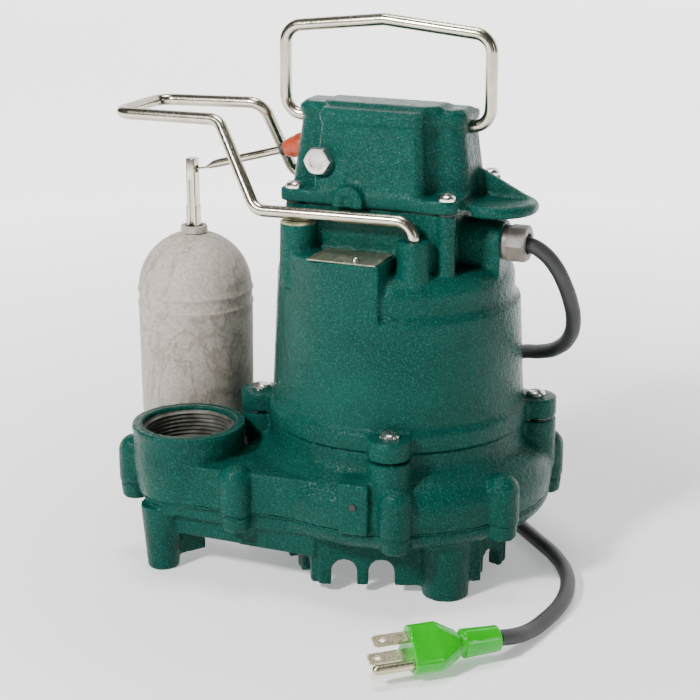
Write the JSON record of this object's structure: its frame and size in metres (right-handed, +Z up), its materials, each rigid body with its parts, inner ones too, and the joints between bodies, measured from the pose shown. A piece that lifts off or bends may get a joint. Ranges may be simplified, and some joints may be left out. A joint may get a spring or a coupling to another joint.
{
  "type": "submersible sump pump",
  "caption": "Cast submersible sump pump with a vertical float switch, threaded discharge, wire lifting handle and power cord with plug.",
  "frame": {"origin": "where the vertical axis of the motor meets the floor that the feet stand on", "axes": "+Z up along the motor's axis, +X towards the cord's gland, -X towards the float, -Y the front with the nameplate"},
  "size_m": [0.267, 0.3756, 0.2932],
  "materials": {
    "enamel": "deep green hammered enamel on cast iron",
    "stainless": "satin stainless steel",
    "fastener": "bright stainless",
    "bolt_head": "pressed, satin",
    "plate": "satin plate, no lettering",
    "gasket": "matte black",
    "painted_gasket": "gasket painted over with the castings",
    "float_shell": "mottled grey-beige moulding with flow lines",
    "boot": "orange rubber",
    "collar": "matte dark",
    "gland": "grey-beige moulding",
    "cord": "dark grey jacket, fine texture",
    "tie": "matte black strap",
    "plug": "translucent bright green",
    "plug_metal": "plated blades and pin",
    "core_steel": "stacked laminations",
    "end_ring": "cast",
    "winding": "enamelled copper wire, stated as brass",
    "impeller": "moulded engineering plastic",
    "ground_steel": "ground",
    "seal_face": "lapped carbon and ceramic",
    "switch_plastic": "moulded",
    "zinc": "zinc plated sheet",
    "wire_nut": "moulded yellow"
  },
  "bodies": {
    "pump": {"motor_housing": "enamel", "flange_screws": "fastener", "nameplate": "plate", "nameplate_pin": "fastener", "switch_case": "enamel", "case_gasket": "gasket", "case_screws": "fastener", "case_bolt": "bolt_head", "float_guard": "stainless", "volute": "enamel", "flange_seal": "gasket", "base": "enamel", "base_gasket": "painted_gasket", "base_screws": "fastener", "stator_core": "core_steel", "stator_windings": "winding", "upper_bearing": "ground_steel", "lower_bearing": "ground_steel", "seal_seat": "seal_face", "switch_body": "switch_plastic", "switch_bracket": "zinc", "wire_connectors": "wire_nut", "thermal_protector": "switch_plastic", "gland_body": "gland", "gland_seal": "gasket", "gland_nut": "gland", "cord_lead": "cord", "cord_coil": "cord", "cord_tail": "cord", "cord_tie": "tie", "plug_body": "plug", "plug_blades": "plug_metal", "plug_ground_pin": "plug_metal"},
    "handle": {"lifting_handle": "stainless"},
    "arm": {"float_arm": "stainless", "arm_boot": "boot", "arm_collar": "collar"},
    "rod": {"float_rod": "stainless", "rod_stop": "stainless"},
    "float": {"float_upper_shell": "float_shell", "float_lower_shell": "float_shell", "float_sleeve": "float_shell"},
    "lever": {"switch_lever": "stainless"},
    "rotor": {"motor_shaft": "ground_steel", "rotor_core": "core_steel", "rotor_end_rings": "end_ring", "impeller": "impeller", "seal_ring": "seal_face", "seal_spring": "stainless"}
  },
  "joints": [
    {"name": "handle_swing", "type": "hinge", "parent": "pump", "child": "handle", "pos_m": [-0.0025, -0.003, 0.2385], "axis": [1, 0, 0], "range_deg": [-110, 110]},
    {"name": "arm_tilt", "type": "hinge", "parent": "pump", "child": "arm", "pos_m": [-0.051, 0.004, 0.222], "axis": [0, 1, 0], "range_deg": [0, 18]},
    {"name": "rod_hang", "type": "hinge", "parent": "arm", "child": "rod", "pos_m": [-0.123, 0.004, 0.2025], "axis": [0, 1, 0], "range_deg": [-18, 0]},
    {"name": "float_slide", "type": "slide", "parent": "rod", "child": "float", "axis": [0, 0, 1], "range_m": [0, 0.028]},
    {"name": "lever_tilt", "type": "hinge", "parent": "pump", "child": "lever", "pos_m": [-0.009, 0.004, 0.2205], "axis": [0, -1, 0], "range_deg": [0, 10]},
    {"name": "rotor_spin", "type": "hinge", "parent": "pump", "child": "rotor", "pos_m": [0, 0, 0.1], "axis": [0, 0, 1], "continuous": true}
  ],
  "couplings": [
    {"joint": "rod_hang", "follows": "arm_tilt", "ratio": -1},
    {"joint": "lever_tilt", "follows": "arm_tilt", "ratio": 0.55}
  ]
}
